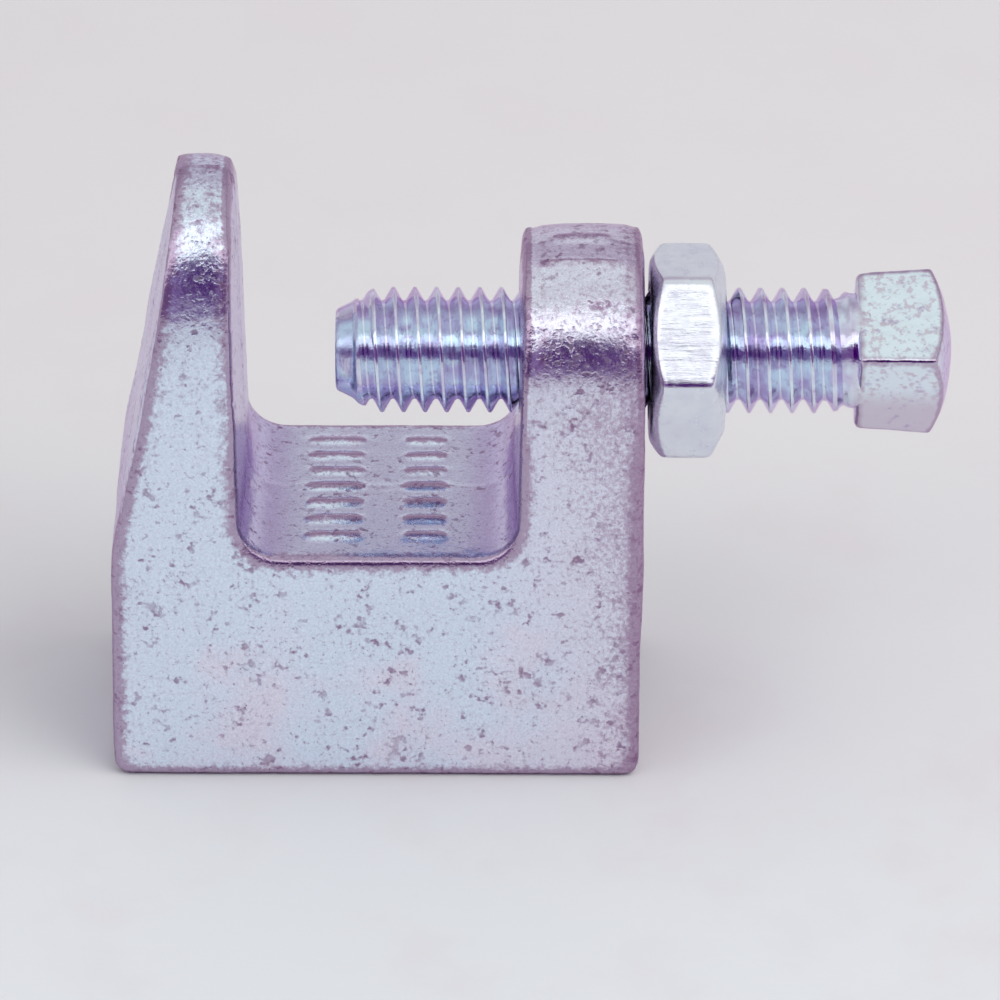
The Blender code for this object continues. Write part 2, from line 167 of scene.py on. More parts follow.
# The lock nut
NUT_INNER_X = 20.1
NUT_THICKNESS = 5.56
NUT_ACROSS_FLATS = 14.1
NUT_TURN = radians(71.4)
NUT_CHAMFER_CIRCLES = (6.6, 6.0)  # on the inner and on the outer face
NUT_CHAMFER_ANGLE = radians(30)
NUT_CORNER = 0.4
NUT_VOXEL = 0.115
NUT_SOFT_ROUNDS = 14
NUT_LUMPS = [(0.012, 2.2, 6)]

PAST = 2.0  # how far a cutter runs past what it cuts

# The camera
CAMERA_TARGET = Vector((9.18, 0.0, 18.72)) * MM
CAMERA_DISTANCE = 0.45
CAMERA_ELEVATION = radians(33.35)
CAMERA_ROLL = radians(0.15)
CAMERA_LENS = 216.7
CAMERA_SENSOR = 36.0

# The light
KEY_TARGET = Vector((10.0, 0.0, 30.0)) * MM
KEY_ELEVATION = radians(52)
KEY_AZIMUTH = radians(62)
KEY_DISTANCE = 0.9
KEY_SIZE = 0.7
KEY_WATTS = 3.7
KEY_COLOUR = (1.0, 0.99, 0.99)
# The sky's colour against its place on the way from the horizon in front, over the top, to the one behind
SKY_STOPS = [
    (0.00, (0.70, 0.69, 0.72)), (0.03, (0.62, 0.57, 0.65)), (0.062, (0.20, 0.10, 0.28)),
    (0.205, (0.20, 0.10, 0.29)), (0.245, (1.42, 1.43, 1.44)), (0.345, (1.42, 1.43, 1.44)),
    (0.39, (0.76, 0.78, 0.79)), (0.50, (0.77, 0.78, 0.79)), (0.56, (0.82, 0.86, 0.86)),
    (0.61, (0.78, 0.81, 0.81)), (0.67, (0.66, 0.61, 0.67)), (0.80, (0.48, 0.41, 0.50)),
    (0.94, (0.73, 0.73, 0.75)), (1.00, (0.74, 0.74, 0.76)),
]
# The dark round patch low in front
DARK_ELEVATION = radians(30)
DARK_HALF_WIDTH = radians(15)
DARK_HALF_HEIGHT = radians(18)
DARK_FADE = (0.7, 1.25)
DARK_COLOUR = (0.055, 0.0, 0.12, 1)

# Colours of the zinc on the casting, and the painted shade for its throat's corners
CAST_BLUE = (0.78, 0.87, 1.0, 1)
CAST_PALE = (0.84, 0.81, 0.93, 1)
CAST_LILAC = (0.80, 0.75, 0.87, 1)
CAST_CORNER_SHADE = (0.60, 0.50, 0.78, 1)
CAST_PINK = (0.56, 0.45, 0.58, 1)
CAST_STAIN = (0.43, 0.30, 0.44, 1)
CAST_BROWN = (0.28, 0.15, 0.28, 1)
CAST_TINT = (0.86, 0.74, 0.87, 1)

# Colours of the zinc on the screw and the nut, and of the floor
SCREW_BLUES = ((0.75, 0.87, 0.95, 1), (0.64, 0.62, 0.80, 1), (0.44, 0.32, 0.55, 1))
SCREW_TINT = (0.86, 0.68, 0.90, 1)
HEAD_ZINC = (0.80, 0.90, 0.96, 1)
# The painted shade low on the screw's head
HEAD_SHADED_ZINC = (0.67, 0.62, 0.71, 1)
HEAD_STAIN = (0.45, 0.33, 0.46, 1)
WORN_ZINC = (0.86, 0.80, 0.88, 1)
NUT_GREYS = ((0.80, 0.84, 0.89, 1), (0.76, 0.78, 0.86, 1), (0.66, 0.66, 0.78, 1))
NUT_TINT = (0.94, 0.94, 1.0, 1)
# The floor's painted light: lighter and bluer towards the front than at the back
FLOOR_FRONT_LIT = (0.722, 0.757, 0.760, 1)
FLOOR_BACK_DIM = (0.695, 0.690, 0.681, 1)
FLOOR_PINK = (0.695, 0.662, 0.672, 1)

random = np.random.default_rng(16)


# ---------------------------------------------------------------- mesh tools

def new_object(name, data):
    made = bpy.data.objects.new(name, data)
    bpy.context.scene.collection.objects.link(made)
    return made


def object_from(name, shape):
    bmesh.ops.recalc_face_normals(shape, faces=shape.faces)
    mesh = bpy.data.meshes.new(name)
    shape.to_mesh(mesh)
    shape.free()
    return new_object(name, mesh)


def apply_modifiers(piece):
    graph = bpy.context.evaluated_depsgraph_get()
    mesh = bpy.data.meshes.new_from_object(piece.evaluated_get(graph))
    piece.modifiers.clear()
    old, piece.data = piece.data, mesh
    bpy.data.meshes.remove(old)


def boolean(piece, other, operation, solver="EXACT"):
    """Applies a Boolean and removes the other shape."""
    cut = piece.modifiers.new("cut", "BOOLEAN")
    cut.operation = operation
    cut.solver = solver
    cut.object = other
    apply_modifiers(piece)
    bpy.data.objects.remove(other, do_unlink=True)


def bevel(piece, width, segments, angle):
    rounding = piece.modifiers.new("rounding", "BEVEL")
    rounding.width = width
    rounding.segments = segments
    rounding.limit_method = "ANGLE"
    rounding.angle_limit = radians(angle)
    apply_modifiers(piece)


def remesh(piece, voxel):
    even = piece.modifiers.new("even", "REMESH")
    even.mode = "VOXEL"
    even.voxel_size = voxel
    apply_modifiers(piece)


def arc(centre, radius, start, end, steps):
    angles = [start + (end - start) * i / steps for i in range(steps + 1)]
    return [(centre[0] + radius * cos(a), centre[1] + radius * sin(a)) for a in angles]


def extruded(name, outline, start, end, place):
    """A closed outline as a solid between two depths. place turns (across, up, depth) into a point."""
    shape = bmesh.new()
    near = [shape.verts.new(place(across, up, start)) for across, up in outline]
    far = [shape.verts.new(place(across, up, end)) for across, up in outline]
    shape.faces.new(near)
    shape.faces.new(reversed(far))
    for i in range(len(outline)):
        after = (i + 1) % len(outline)
        shape.faces.new((near[i], far[i], far[after], near[after]))
    return object_from(name, shape)


def turned(name, profile, steps):
    """A closed solid from (X, radius) points, the first and last on the axis, turned round the X axis."""
    shape = bmesh.new()
    ends = [shape.verts.new((profile[i][0], 0.0, 0.0)) for i in (0, -1)]
    angles = [2 * pi * step / steps for step in range(steps)]
    rings = []
    for along, radius in profile[1:-1]:
        rings.append([shape.verts.new((along, radius * cos(a), radius * sin(a))) for a in angles])
    for step in range(steps):
        after = (step + 1) % steps
        shape.faces.new((ends[0], rings[0][step], rings[0][after]))
        shape.faces.new((ends[1], rings[-1][after], rings[-1][step]))
        for one, two in zip(rings, rings[1:]):
            shape.faces.new((one[step], two[step], two[after], one[after]))
    return object_from(name, shape)


def points_of(mesh, what="co"):
    source = mesh.vertices if what == "co" else mesh.vertex_normals
    values = np.empty(len(mesh.vertices) * 3, np.float32)
    source.foreach_get("co" if what == "co" else "vector", values)
    return values.reshape(-1, 3).astype(float)


def set_points(mesh, points):
    mesh.vertices.foreach_set("co", points.astype(np.float32).ravel())
    mesh.update()


def noise_at(points, size, seed):
    """Smooth noise from -1 to 1 with features of about the given size in millimetres."""
    shift = Vector((seed * 13.7, seed * 5.1, seed * 9.3))
    return np.array([noise.noise(Vector(p) / size + shift) for p in points])


def lumps(points, layers):
    """The sum of layers of noise, each given as its height, size and seed."""
    return sum(height * noise_at(points, size, seed) for height, size, seed in layers)


def smooth_step(values, low, high):
    t = np.clip((values - low) / (high - low), 0.0, 1.0)
    return t * t * (3.0 - 2.0 * t)


def relaxed(mesh, rounds, share=None):
    """The vertices after rounds of moving each by its share of the way to the mean of its neighbours."""
    points = points_of(mesh)
    ends = np.empty(len(mesh.edges) * 2, np.int64)
    mesh.edges.foreach_get("vertices", ends)
    one, two = ends.reshape(-1, 2).T
    count = np.bincount(one, minlength=len(points)) + np.bincount(two, minlength=len(points))
    count = np.maximum(count, 1)[:, None]
    for _ in range(rounds):
        total = np.zeros_like(points)
        for axis in range(3):
            total[:, axis] = np.bincount(one, points[two, axis], len(points))
            total[:, axis] += np.bincount(two, points[one, axis], len(points))
        mean = total / count
        points = mean if share is None else points + (mean - points) * share[:, None]
    return points


def convexity(mesh, rounds):
    """How far each vertex stands out from the average of its surroundings, along its normal."""
    return ((points_of(mesh) - relaxed(mesh, rounds)) * points_of(mesh, "normal")).sum(axis=1)


def add_attribute(mesh, name, values):
    mesh.attributes.new(name, "FLOAT", "POINT").data.foreach_set("value", values.astype(np.float32))


def finish_piece(piece, material, sharp_angle):
    piece.data.transform(Matrix.Scale(MM, 4))
    piece.data.materials.clear()
    piece.data.materials.append(material)
    piece.data.shade_smooth()
    piece.data.set_sharp_from_angle(angle=radians(sharp_angle))


# ---------------------------------------------------------------- threads

def thread_radius(along, angle):
    """The radius of the thread's surface at a place along X and an angle from +Y towards +Z."""
    turns = (along - THREAD_PHASE) / PITCH - angle / (2 * pi)
    from_crest = np.abs(turns - np.round(turns)) * PITCH
    return np.interp(from_crest, *zip(*THREAD_FLANK))


def helical_grid(start, end, steps, flank):
    """Points X and angle on a grid whose rows follow the thread from before its start to past its end."""
    offsets = [offset for offset, _ in flank]
    rows = sorted([-offset for offset in offsets[1:-1]] + offsets)
    first = int((start - THREAD_PHASE) // PITCH) - 2
    last = int((end - THREAD_PHASE) // PITCH) + 2
    along = np.array([THREAD_PHASE + turn * PITCH + offset for turn in range(first, last) for offset in rows])
    angle = 2 * pi * np.arange(steps + 1) / steps
    grid = along[:, None] + PITCH * angle[None, :] / (2 * pi)
    return np.clip(grid, start, end), np.broadcast_to(angle, grid.shape)


def swept_thread(name, start, end, radius_at, start_cap, height, steps, flank):
    """A closed solid whose radius is radius_at(X, angle), with rows that follow the thread.

    start_cap lists (X, radius) rings inside the start face, from its rim to the axis.
    """
    along, angle = helical_grid(start, end, steps, flank)
    radius = radius_at(along, angle)
    across = radius * np.cos(angle)
    up = radius * np.sin(angle) + height
    shape = bmesh.new()
    rows = [[shape.verts.new(p) for p in zip(*row)] for row in zip(along, across, up)]
    for one, two in zip(rows, rows[1:]):
        for step in range(steps):
            shape.faces.new((one[step], two[step], two[step + 1], one[step + 1]))
    # The first row lies at the start all round and the last at the end, so each is a closed loop.
    rim = rows[0][:steps]
    for x, ring_radius in start_cap[:-1]:
        ring = [
            shape.verts.new((x, ring_radius * cos(a), ring_radius * sin(a) + height))
            for a in 2 * pi * np.arange(steps) / steps
        ]
        for step in range(steps):
            after = (step + 1) % steps
            shape.faces.new((rim[step], rim[after], ring[after], ring[step]))
        rim = ring
    hubs = [(start_cap[-1][0], rim), (end, rows[-1][:steps])]
    for x, loop in hubs:
        hub = shape.verts.new((x, 0.0, height))
        for step in range(steps):
            shape.faces.new((hub, loop[step], loop[(step + 1) % steps]))
    bmesh.ops.remove_doubles(shape, verts=shape.verts, dist=1e-5)
    bmesh.ops.dissolve_degenerate(shape, edges=shape.edges, dist=1e-6)
    return object_from(name, shape)


def cut_tapped_hole(piece, start, end, height):
    """Cuts a threaded hole along X, countersunk at both faces."""
    def radius_at(along, angle):
        mouth = CREST_RADIUS + THREAD_CLEARANCE + COUNTERSINK
        sink = mouth - np.minimum(along - start, end - along)
        return np.maximum(thread_radius(along, angle) + THREAD_CLEARANCE, np.minimum(sink, mouth + PAST))

    span = (start - PAST, end + PAST)
    cutter = swept_thread("hole", *span, radius_at, [(span[0], 0.0)], height, HOLE_STEPS, THREAD_FLANK[::2])
    boolean(piece, cutter, "DIFFERENCE", "MANIFOLD")


# ---------------------------------------------------------------- casting

def body_outline():
    """The C shape from the front as X and Z points, running past the tops of the jaw and the lug."""
    half = BASE_LENGTH / 2
    jaw_top = JAW_HEIGHT + PAST
    lug_top = SCREW_AXIS_Z + LUG_TOP_RADIUS + PAST
    corner = BASE_CORNER_RADIUS
    fillet_z = FLOOR_HEIGHT + THROAT_FILLET
    lug_reach = THROAT_FILLET * (1 / cos(LUG_FACE_DRAFT) - tan(LUG_FACE_DRAFT))
    jaw_reach = THROAT_FILLET * (1 / cos(JAW_FACE_DRAFT) - tan(JAW_FACE_DRAFT))
    outline = arc((corner - half, corner), corner, pi + BASE_END_DRAFT, 3 * pi / 2, 6)
    outline += arc((half - corner, corner), corner, -pi / 2, LUG_OUTER_DRAFT, 6)
    outline += [
        (half - lug_top * tan(LUG_OUTER_DRAFT), lug_top),
        (LUG_FACE_X + (lug_top - FLOOR_HEIGHT) * tan(LUG_FACE_DRAFT), lug_top),
    ]
    outline += arc((LUG_FACE_X - lug_reach, fillet_z), THROAT_FILLET, -LUG_FACE_DRAFT, -pi / 2, 14)
    outline += arc((JAW_FACE_X + jaw_reach, fillet_z), THROAT_FILLET, -pi / 2, JAW_FACE_DRAFT - pi, 14)
    outline += [
        (JAW_FACE_X - (jaw_top - FLOOR_HEIGHT) * tan(JAW_FACE_DRAFT), jaw_top),
        (JAW_BACK_POINT[0] + (jaw_top - JAW_BACK_POINT[1]) * tan(JAW_BACK_SLOPE), jaw_top),
    ]
    return outline + jaw_back_bend()


def jaw_back_bend():
    """The round bend between the base's end face and the sloping back of the jaw, from top to bottom."""
    back_x, back_z = JAW_BACK_POINT
    slope_rate, draft_rate = tan(JAW_BACK_SLOPE), tan(BASE_END_DRAFT)
    meet_z = (back_z * slope_rate - back_x - BASE_LENGTH / 2) / (slope_rate - draft_rate)
    meet_x = draft_rate * meet_z - BASE_LENGTH / 2
    reach = JAW_BACK_BEND_RADIUS * tan((JAW_BACK_SLOPE - BASE_END_DRAFT) / 2)
    start = (meet_x - reach * sin(BASE_END_DRAFT), meet_z - reach * cos(BASE_END_DRAFT))
    centre = (
        start[0] + JAW_BACK_BEND_RADIUS * cos(BASE_END_DRAFT),
        start[1] - JAW_BACK_BEND_RADIUS * sin(BASE_END_DRAFT),
    )
    return arc(centre, JAW_BACK_BEND_RADIUS, pi - JAW_BACK_SLOPE, pi - BASE_END_DRAFT, 8)


def lug_top_outline():
    """The lug's round top from its back to its front, as Y and Z points."""
    return arc((0.0, SCREW_AXIS_Z), LUG_TOP_RADIUS, LUG_TOP_START, pi - LUG_TOP_START, 40)


def jaw_top_outline():
    """The jaw's top from its back to its front: a wide round shoulder, a tighter cap and a shoulder."""
    off_middle = JAW_SHOULDER_RADIUS - JAW_HALF_DEPTH
    cap_radius = JAW_SHOULDER_RADIUS - off_middle / cos(JAW_SHOULDER_END)
    cap_z = JAW_HEIGHT - cap_radius
    shoulder_z = cap_z - off_middle * tan(JAW_SHOULDER_END)
    back = arc((-off_middle, shoulder_z), JAW_SHOULDER_RADIUS, JAW_SHOULDER_START, JAW_SHOULDER_END, 16)
    cap = arc((0.0, cap_z), cap_radius, JAW_SHOULDER_END, pi - JAW_SHOULDER_END, 16)
    return back + cap[1:-1] + [(-across, up) for across, up in reversed(back)]


def cut_top(body, top, start_slope, start_x, end_x):
    """Takes away all that is above a round top whose sides run tangentially out past the body's faces."""
    beyond = BODY_DEPTH / 2 + PAST
    side_y, side_z = top[0]
    foot_z = side_z - (beyond - side_y) / tan(start_slope)
    sky_z = max(up for _, up in top) + 2 * PAST
    outline = [(beyond, foot_z)] + top + [(-beyond, foot_z), (-beyond, sky_z), (beyond, sky_z)]
    cutter = extruded("arch", outline, start_x, end_x, lambda across, up, depth: (depth, across, up))
    boolean(body, cutter, "DIFFERENCE")


def raised_bar(length, width, height):
    """A bar with round ends and sloping sides, lying along X with its middle at the origin."""
    straight = max(length - width, 0.0) / 2
    shape = bmesh.new()
    loops = []
    for level, share in ((-MARK_ROOT, 1.0), (0.0, 1.0), (height, MARK_TOP_SHARE)):
        reach = width / 2 * share
        outline = arc((straight, 0.0), reach, -pi / 2, pi / 2, 8)
        outline += arc((-straight, 0.0), reach, pi / 2, 3 * pi / 2, 8)
        loops.append([shape.verts.new((x, y, level)) for x, y in outline])
    for low, high in zip(loops, loops[1:]):
        for i in range(len(low)):
            after = (i + 1) % len(low)
            shape.faces.new((low[i], low[after], high[after], high[i]))
    shape.faces.new(reversed(loops[0]))
    shape.faces.new(loops[-1])
    return object_from("mark", shape)


def cast_marks():
    """Plain raised bars with no meaning: two ladders of them on the throat floor and two bars on the lug."""
    marks = []
    for y in FLOOR_MARK_ROWS:
        for x, length in FLOOR_MARK_COLUMNS:
            mark = raised_bar(length, MARK_WIDTH, FLOOR_MARK_HEIGHT)
            mark.data.transform(Matrix.Translation((x, y, FLOOR_HEIGHT)))
            marks.append(mark)
    up = Matrix.Translation((0.0, 0.0, LUG_TOP_RADIUS))
    for lean, length in LUG_MARKS:
        mark = raised_bar(length, MARK_WIDTH, LUG_MARK_HEIGHT)
        turn = Matrix.Rotation(radians(lean), 4, "X")
        mark.data.transform(Matrix.Translation((LUG_MIDDLE_X, 0.0, SCREW_AXIS_Z)) @ turn @ up)
        marks.append(mark)
    return marks


def soften_casting(mesh):
    """Rounds the back of the jaw, the jaw's tip and the lug's upper edges more than the rest."""
    set_points(mesh, relaxed(mesh, EVEN_ROUNDS))
    x, height = points_of(mesh)[:, 0], points_of(mesh)[:, 2]
    back_x = JAW_BACK_POINT[0] + (height - JAW_BACK_POINT[1]) * tan(JAW_BACK_SLOPE)
    share = smooth_step(back_x + JAW_BACK_SOFT_DEPTH - x, 0.0, JAW_BACK_SOFT_FADE)
    share = share * smooth_step(height, *JAW_BACK_SOFT_Z)
    share = np.maximum(share, JAW_TIP_SOFTNESS * smooth_step(height, *JAW_TIP_SOFT_Z) * (x < 0.0))
    on_lug = x > LUG_FACE_X
    lug_edges = np.maximum(smooth_step(x, *LUG_OUTER_EDGE_X), 1.0 - smooth_step(x, *LUG_INNER_EDGE_X)) * on_lug
    share = np.maximum(share, LUG_SOFTNESS * lug_edges * smooth_step(height, *LUG_SOFT_Z))
    set_points(mesh, relaxed(mesh, SOFT_ROUNDS, share))


def shape_cast_surface(mesh):
    """Draft from the parting plane, crowned tops, a parting ridge, soft lumps and pits.

    Gives how stained each vertex is by its pit.
    """
    points, normals = points_of(mesh), points_of(mesh, "normal")
    x, height = points[:, 0], points[:, 2]
    sideways = np.hypot(normals[:, 0], normals[:, 2])
    not_under = 1.0 - smooth_step(-normals[:, 2], *FACING_FULLY)
    in_throat = (np.abs(x) < THROAT_HALF_LENGTH) & (height > THROAT_DRAFT_START_Z)
    inward = smooth_step(np.abs(normals[:, 0]), *FACING_MOSTLY)
    in_throat = in_throat * np.maximum(inward, 1.0 - smooth_step(height, *THROAT_DRAFT_END_Z))
    off_front = BODY_DEPTH / 2 - np.abs(points[:, 1])
    move = off_front * tan(PARTING_DRAFT) * sideways * not_under * in_throat
    jaw_back = smooth_step(-normals[:, 0], *FACING_PARTLY) * (x < 0.0)
    move -= jaw_back * sum(amount * smooth_step(height, *span) for amount, span in JAW_BACK_TAKEN)
    lug_outside = smooth_step(normals[:, 0], *FACING_FULLY) * (x > LUG_OUTSIDE_X)
    move += lug_outside * (LUG_OUTSIDE_GAIN * smooth_step(height, *LUG_OUTSIDE_GAIN_Z) - LUG_OUTSIDE_TAKEN)
    ridge = np.exp(-((points[:, 1] / PARTING_RIDGE_WIDTH) ** 2))
    move += PARTING_RIDGE * ridge * sideways * not_under
    move += crown(points, normals)
    move += lumps(points, CASTING_LUMPS)
    stain = np.zeros(len(points))
    add_pits(points, move, stain)
    points = points + normals * move[:, None]
    off_axis = np.hypot(points[:, 1], points[:, 2] - SCREW_AXIS_Z)
    under_nut = (points[:, 0] > LUG_OUTSIDE_X) & (off_axis < NUT_SEAT_RADIUS)
    points[under_nut, 0] = np.minimum(points[under_nut, 0], NUT_SEAT_X)
    points[:, 2] = np.maximum(points[:, 2], 0.0)
    set_points(mesh, points)
    return stain


def crown(points, normals):
    """The tops of the jaw and the lug fall away towards their two sides."""
    height = points[:, 2]
    jaw_middle = (JAW_BACK_POINT[0] + JAW_FACE_X) / 2 + (height - JAW_BACK_POINT[1]) * tan(JAW_BACK_SLOPE) / 2
    middle = np.where(points[:, 0] > 0, LUG_MIDDLE_X + TOP_CROWN_LUG_SHIFT, jaw_middle)
    top = smooth_step(height, *TOP_CROWN_Z)
    facing = 1.0 - smooth_step(np.abs(normals[:, 0]), *FACING_PARTLY)
    return -((points[:, 0] - middle) ** 2) / (2 * TOP_CROWN_RADIUS) * top * facing


def add_pits(points, move, stain):
    """Small hollows, more of them towards the lug's outer side."""
    tree = kdtree.KDTree(len(points))
    for i, point in enumerate(points):
        tree.insert(point, i)
    tree.balance()
    centres = points[random.integers(0, len(points), PIT_TRIES)]
    chances = random.random(PIT_TRIES)
    for centre, chance in zip(centres, chances):
        if chance > PIT_SHARE + PIT_CROWDED_SHARE * smooth_step(centre[0], *PIT_CROWDED_X):
            continue
        radius = random.uniform(*PIT_RADII)
        depth = random.uniform(*PIT_DEPTHS)
        for _, index, distance in tree.find_range(centre, radius):
            bowl = (1.0 - (distance / radius) ** 2) ** 2
            move[index] -= depth * bowl
            stain[index] = max(stain[index], bowl * depth / PIT_STAINED_DEPTH)


def casting():
    body = extruded(
        "casting",
        body_outline(),
        -BODY_DEPTH / 2,
        BODY_DEPTH / 2,
        lambda across, up, depth: (across, depth, up),
    )
    half = BASE_LENGTH / 2
    cut_top(body, jaw_top_outline(), JAW_SHOULDER_START, -half - PAST, JAW_FACE_X + PAST)
    cut_top(body, lug_top_outline(), LUG_TOP_START, LUG_FACE_X - PAST, half + PAST)
    bevel(body, EDGE_ROUNDING, 5, 35)
    shape = bmesh.new()
    shape.from_mesh(body.data)
    for mark in cast_marks():
        shape.from_mesh(mark.data)
        bpy.data.objects.remove(mark, do_unlink=True)
    shape.to_mesh(body.data)
    shape.free()
    remesh(body, CASTING_VOXEL)
    soften_casting(body.data)
    stain = shape_cast_surface(body.data)
    add_attribute(body.data, "stain", stain)
    add_attribute(body.data, "edge", convexity(body.data, 10))
    lug_rise = (SCREW_AXIS_Z - FLOOR_HEIGHT) * tan(LUG_FACE_DRAFT)
    cut_tapped_hole(body, LUG_FACE_X + lug_rise, half - SCREW_AXIS_Z * tan(LUG_OUTER_DRAFT), SCREW_AXIS_Z)
    base_end = half - ROD_AXIS_Z * tan(BASE_END_DRAFT)
    cut_tapped_hole(body, -base_end, half - ROD_AXIS_Z * tan(LUG_OUTER_DRAFT), ROD_AXIS_Z)
    return body


# ---------------------------------------------------------------- set screw and lock nut

def shank():
    def radius_at(along, angle):
        radius = np.minimum(thread_radius(along, angle), np.interp(along, *zip(*LEAD_IN)))
        radius = np.minimum(radius, np.interp(along, *zip(*RUN_OUT_CREST)))
        return np.maximum(radius, np.interp(along, *zip(*RUN_OUT_ROOT)))

    return swept_thread("set_screw_full", TIP_X, SHANK_END_X, radius_at, CUP, 0.0, THREAD_STEPS, THREAD_FLANK)


def cone_along_x(name, sides, start_radius, end_radius, start, end, turn):
    """A prism or pyramid stump along X whose first corner is at an angle up from the front."""
    shape = bmesh.new()
    bmesh.ops.create_cone(
        shape, cap_ends=True, segments=sides, radius1=start_radius, radius2=end_radius, depth=end - start
    )
    middle = Matrix.Translation(((start + end) / 2, 0, 0))
    shape.transform(Matrix.Rotation(-turn, 4, "X") @ middle @ Matrix.Rotation(radians(90), 4, "Y"))
    return object_from(name, shape)


def screw_head():
    end = HEAD_SEAT_X + HEAD_HEIGHT
    half_diagonals = (HEAD_INNER_WIDTH / sqrt(2), HEAD_OUTER_WIDTH / sqrt(2))
    head = cone_along_x("head", 4, *half_diagonals, HEAD_SEAT_X, end, HEAD_TURN)
    bevel(head, HEAD_CORNER, 4, 30)
    dome = arc((end - HEAD_CROWN_RADIUS, 0.0), HEAD_CROWN_RADIUS, 0.0, HEAD_CROWN_ANGLE, 16)
    start = HEAD_SEAT_X - PAST
    crown_shape = turned("crown", dome + [(start, dome[-1][1]), (start, 0.0)], 64)
    boolean(head, crown_shape, "INTERSECT")
    remesh(head, HEAD_VOXEL)
    set_points(head.data, relaxed(head.data, 3))
    points, normals = points_of(head.data), points_of(head.data, "normal")
    set_points(head.data, points + normals * lumps(points, HEAD_LUMPS)[:, None])
    return head


def set_screw():
    screw = shank()
    boolean(screw, screw_head(), "UNION", "MANIFOLD")
    screw.data.transform(Matrix.Translation((0.0, 0.0, SCREW_AXIS_Z)))
    add_attribute(screw.data, "edge", convexity(screw.data, 6))
    return screw


def lock_nut():
    end = NUT_INNER_X + NUT_THICKNESS
    corner = NUT_ACROSS_FLATS / sqrt(3)
    nut = cone_along_x("lock_nut_full", 6, corner, corner, NUT_INNER_X, end, NUT_TURN)
    bevel(nut, NUT_CORNER, 4, 30)
    rise = NUT_THICKNESS / 2 / tan(NUT_CHAMFER_ANGLE)
    middle = NUT_INNER_X + NUT_THICKNESS / 2
    inner, outer = NUT_CHAMFER_CIRCLES
    profile = [
        (end, 0.0),
        (end, outer),
        (middle, (inner + outer) / 2 + rise),
        (NUT_INNER_X, inner),
        (NUT_INNER_X, 0.0),
    ]
    boolean(nut, turned("chamfers", profile, 96), "INTERSECT")
    remesh(nut, NUT_VOXEL)
    set_points(nut.data, relaxed(nut.data, NUT_SOFT_ROUNDS))
    points, normals = points_of(nut.data), points_of(nut.data, "normal")
    set_points(nut.data, points + normals * lumps(points, NUT_LUMPS)[:, None])
    cut_tapped_hole(nut, NUT_INNER_X, end, 0.0)
    nut.data.transform(Matrix.Translation((0.0, 0.0, SCREW_AXIS_Z)))
    add_attribute(nut.data, "edge", convexity(nut.data, 6))
    return nut


# ---------------------------------------------------------------- materials

class Nodes:
    """A node tree with short calls for the nodes used here."""

    def __init__(self, tree):
        self.tree = tree

    def add(self, kind, **settings):
        made = self.tree.nodes.new(kind)
        for name, value in settings.items():
            setattr(made, name, value)
        return made

    def link(self, source, target):
        if hasattr(source, "node"):
            self.tree.links.new(source, target)
        else:
            target.default_value = source

    def math(self, operation, one, two=0.0):
        made = self.add("ShaderNodeMath", operation=operation)
        self.link(one, made.inputs[0])
        self.link(two, made.inputs[1])
        return made.outputs[0]

    def sum(self, one, two):
        return self.math("ADD", one, two)

    def times(self, one, two):
        return self.math("MULTIPLY", one, two)

    def parts(self, vector):
        """The X, Y and Z of a vector."""
        made = self.add("ShaderNodeSeparateXYZ")
        self.link(vector, made.inputs[0])
        return made.outputs

    def between(self, value, low, high, out_low=0.0, out_high=1.0):
        """A smooth step of the value from low to high."""
        made = self.add("ShaderNodeMapRange", interpolation_type="SMOOTHSTEP")
        self.link(value, made.inputs["Value"])
        for name, number in (("From Min", low), ("From Max", high), ("To Min", out_low), ("To Max", out_high)):
            made.inputs[name].default_value = number
        return made.outputs["Result"]

    def mixed(self, share, one, two):
        made = self.add("ShaderNodeMix", data_type="RGBA")
        self.link(share, made.inputs[0])
        self.link(one, made.inputs[6])
        self.link(two, made.inputs[7])
        return made.outputs[2]


class Surface(Nodes):
    """A material. Its place is the object's own coordinates in millimetres."""

    def __init__(self, name):
        self.material = bpy.data.materials.new(name)
        self.material.use_nodes = True
        super().__init__(self.material.node_tree)
        self.shader = self.tree.nodes["Principled BSDF"]
        self.place = self.scaled(self.add("ShaderNodeTexCoord").outputs["Object"], 1 / MM)

    def scaled(self, vector, factor):
        made = self.add("ShaderNodeVectorMath", operation="SCALE")
        self.link(vector, made.inputs[0])
        self.link(factor, made.inputs["Scale"])
        return made.outputs[0]

    def stretched(self, factors):
        made = self.add("ShaderNodeVectorMath", operation="MULTIPLY")
        self.link(self.place, made.inputs[0])
        made.inputs[1].default_value = factors
        return made.outputs[0]

    def noise(self, size, detail=2.0, place=None, rough=0.5, warp=0.0):
        made = self.add("ShaderNodeTexNoise")
        self.link(place or self.place, made.inputs["Vector"])
        made.inputs["Scale"].default_value = 1 / size
        made.inputs["Detail"].default_value = detail
        made.inputs["Roughness"].default_value = rough
        made.inputs["Distortion"].default_value = warp
        return made.outputs["Fac"]

    def attribute(self, name):
        return self.add("ShaderNodeAttribute", attribute_name=name).outputs["Fac"]

    def bump(self, heights):
        """Bumps from (height, millimetres, strength) one on another."""
        normal = None
        for height, distance, strength in heights:
            made = self.add("ShaderNodeBump")
            self.link(height, made.inputs["Height"])
            made.inputs["Distance"].default_value = distance * MM
            made.inputs["Strength"].default_value = strength
            if normal is not None:
                self.link(normal, made.inputs["Normal"])
            normal = made.outputs["Normal"]
        self.link(normal, self.shader.inputs["Normal"])

    def set(self, **values):
        for name, value in values.items():
            self.link(value, self.shader.inputs[name.replace("_", " ")])


